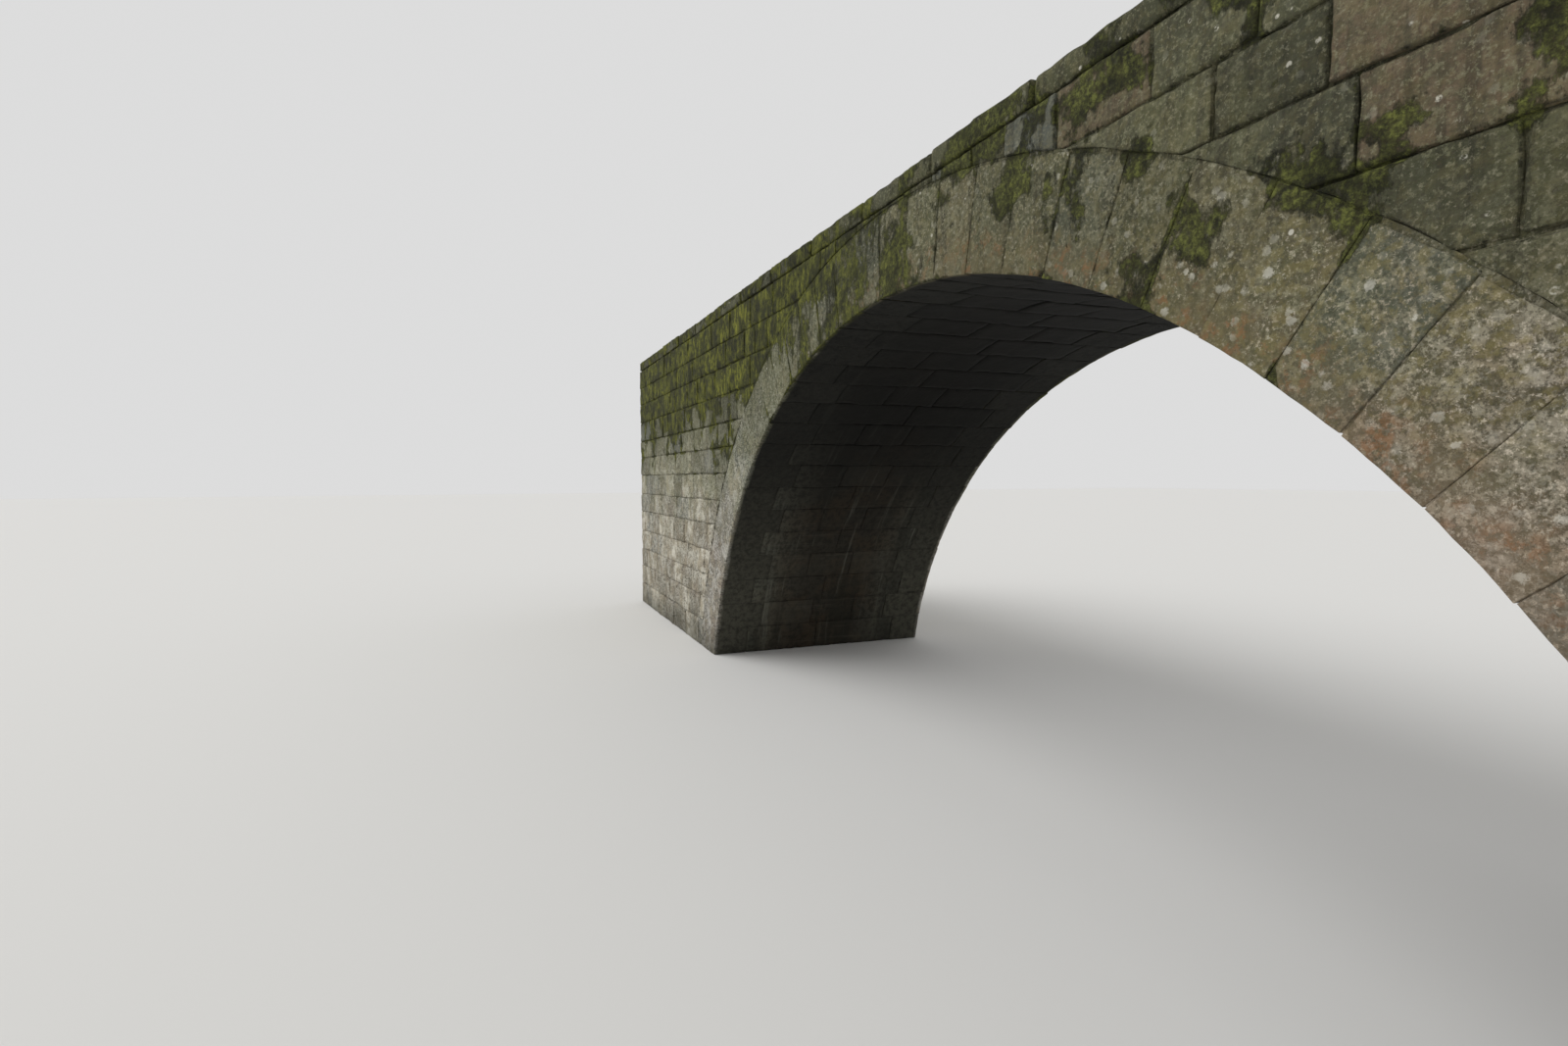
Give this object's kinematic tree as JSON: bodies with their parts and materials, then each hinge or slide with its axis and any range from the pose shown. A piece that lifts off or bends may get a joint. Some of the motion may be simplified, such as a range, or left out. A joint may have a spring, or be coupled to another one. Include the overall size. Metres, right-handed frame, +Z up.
{
  "type": "stone arch bridge",
  "caption": "Old single-span stone bridge: a round arch of tapered voussoirs with a coursed barrel, plain spandrel and wing walls, a level flagged deck and low kerbs.",
  "frame": {"origin": "middle of the base, on the water line that the masonry stands on", "axes": "+X along the bridge, -Y the near face, +Z up"},
  "size_m": [18, 2.82, 4.16],
  "materials": {
    "ring_granite": "weathered, rough-dressed, lichened",
    "barrel_granite": "damp, smoke-dark, rough-dressed",
    "wall_granite": "weathered, coursed, mossy at the top",
    "kerb_granite": "weathered, mossed",
    "deck_flags": "worn, matt",
    "rubble_hearting": "rough rubble"
  },
  "bodies": {
    "root": {"abutment_core_left": "rubble_hearting", "abutment_core_right": "rubble_hearting", "barrel_key_course": "barrel_granite", "barrel_left_long_courses": "barrel_granite", "barrel_left_short_courses": "barrel_granite", "barrel_right_long_courses": "barrel_granite", "barrel_right_short_courses": "barrel_granite", "deck_crown": "deck_flags", "deck_left": "deck_flags", "deck_right": "deck_flags", "end_wall_left": "wall_granite", "end_wall_right": "wall_granite", "far_kerb": "kerb_granite", "far_keystone": "ring_granite", "far_ring_left_long_stones": "ring_granite", "far_ring_left_short_stones": "ring_granite", "far_ring_right_long_stones": "ring_granite", "far_ring_right_short_stones": "ring_granite", "far_spandrel_left": "wall_granite", "far_spandrel_right": "wall_granite", "far_wing_wall_left": "wall_granite", "far_wing_wall_right": "wall_granite", "hearting_left": "rubble_hearting", "hearting_right": "rubble_hearting", "levelling_course": "wall_granite", "near_kerb": "kerb_granite", "near_keystone": "ring_granite", "near_ring_left_long_stones": "ring_granite", "near_ring_left_short_stones": "ring_granite", "near_ring_right_long_stones": "ring_granite", "near_ring_right_short_stones": "ring_granite", "near_spandrel_left": "wall_granite", "near_spandrel_right": "wall_granite", "near_wing_wall_left": "wall_granite", "near_wing_wall_right": "wall_granite"}
  },
  "joints": []
}
